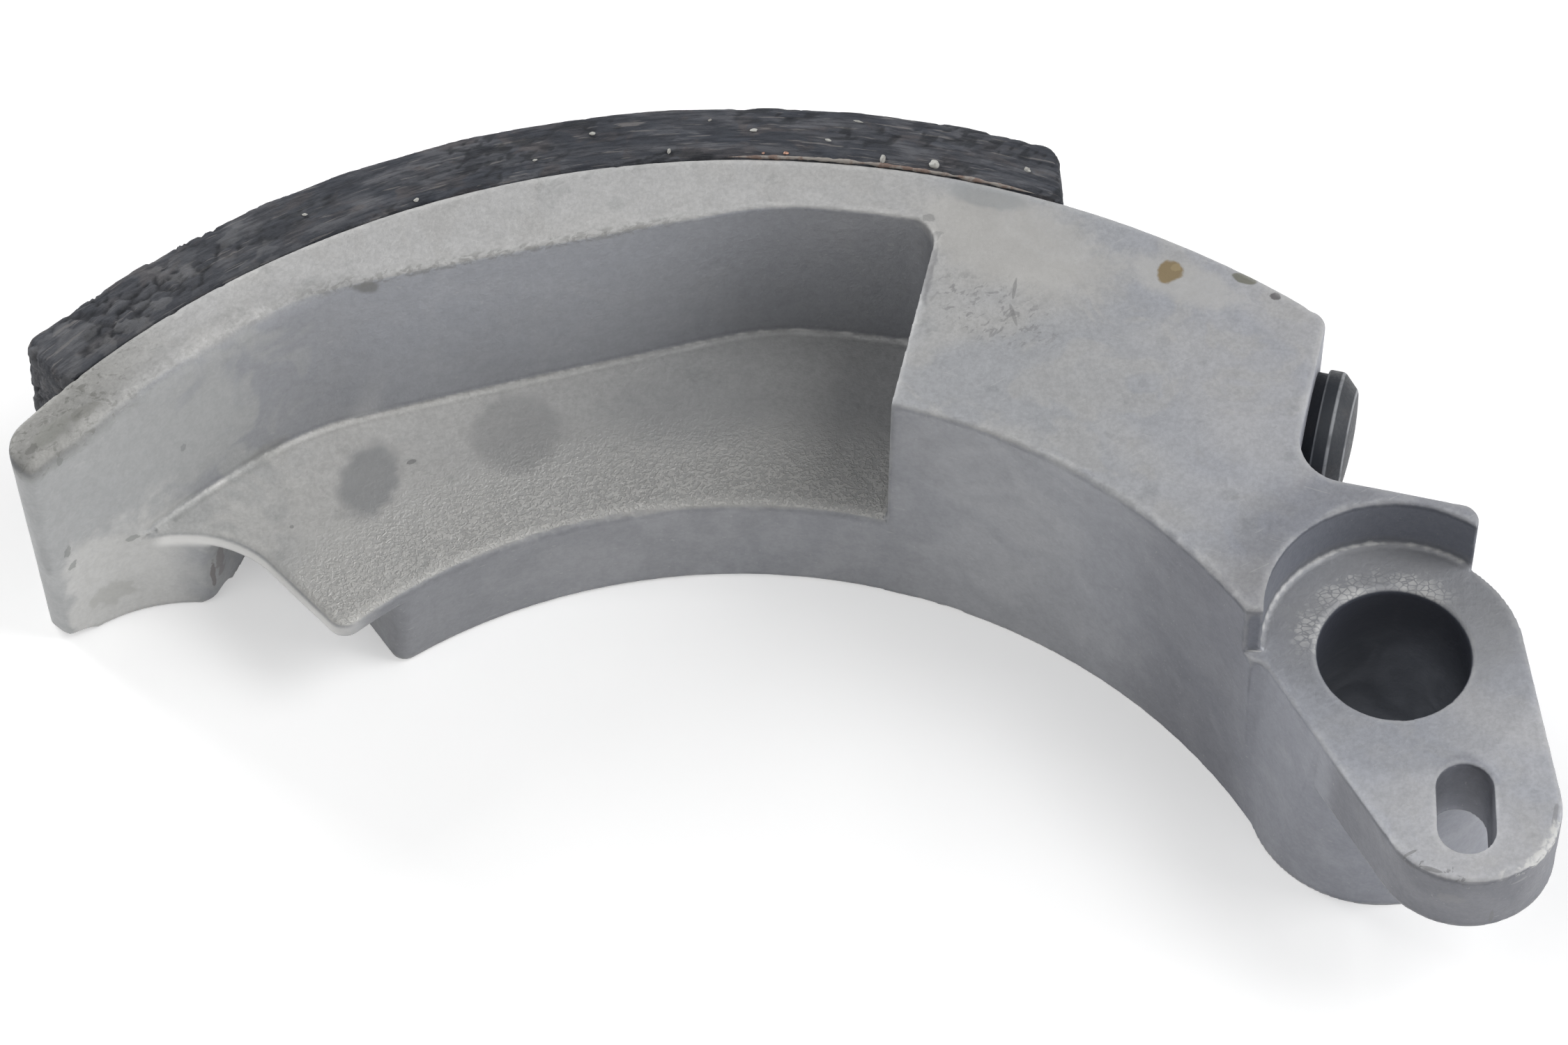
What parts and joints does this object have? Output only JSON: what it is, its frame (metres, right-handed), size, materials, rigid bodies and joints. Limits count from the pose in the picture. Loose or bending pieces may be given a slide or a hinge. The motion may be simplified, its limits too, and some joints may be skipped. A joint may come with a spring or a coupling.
{
  "type": "clutch shoe",
  "caption": "Curved clutch shoe with a bonded friction lining, pivot bore, spring finger with a slot and a rubber rest button, lying on its side face.",
  "frame": {"origin": "axis of the pivot bore at the side face that the shoe rests on", "axes": "+Z along the pivot bore, out of the resting face; +X from the toe towards the pivot end; +Y towards the lining"},
  "size_m": [0.1002, 0.058, 0.0214],
  "materials": {
    "cast_aluminium": "as cast, matt, stained",
    "friction_material": "moulded, rough, streaky",
    "buffer_rubber": "matt"
  },
  "bodies": {
    "root": {"shoe_casting": "cast_aluminium", "friction_lining": "friction_material", "rest_buffer": "buffer_rubber"}
  },
  "joints": []
}
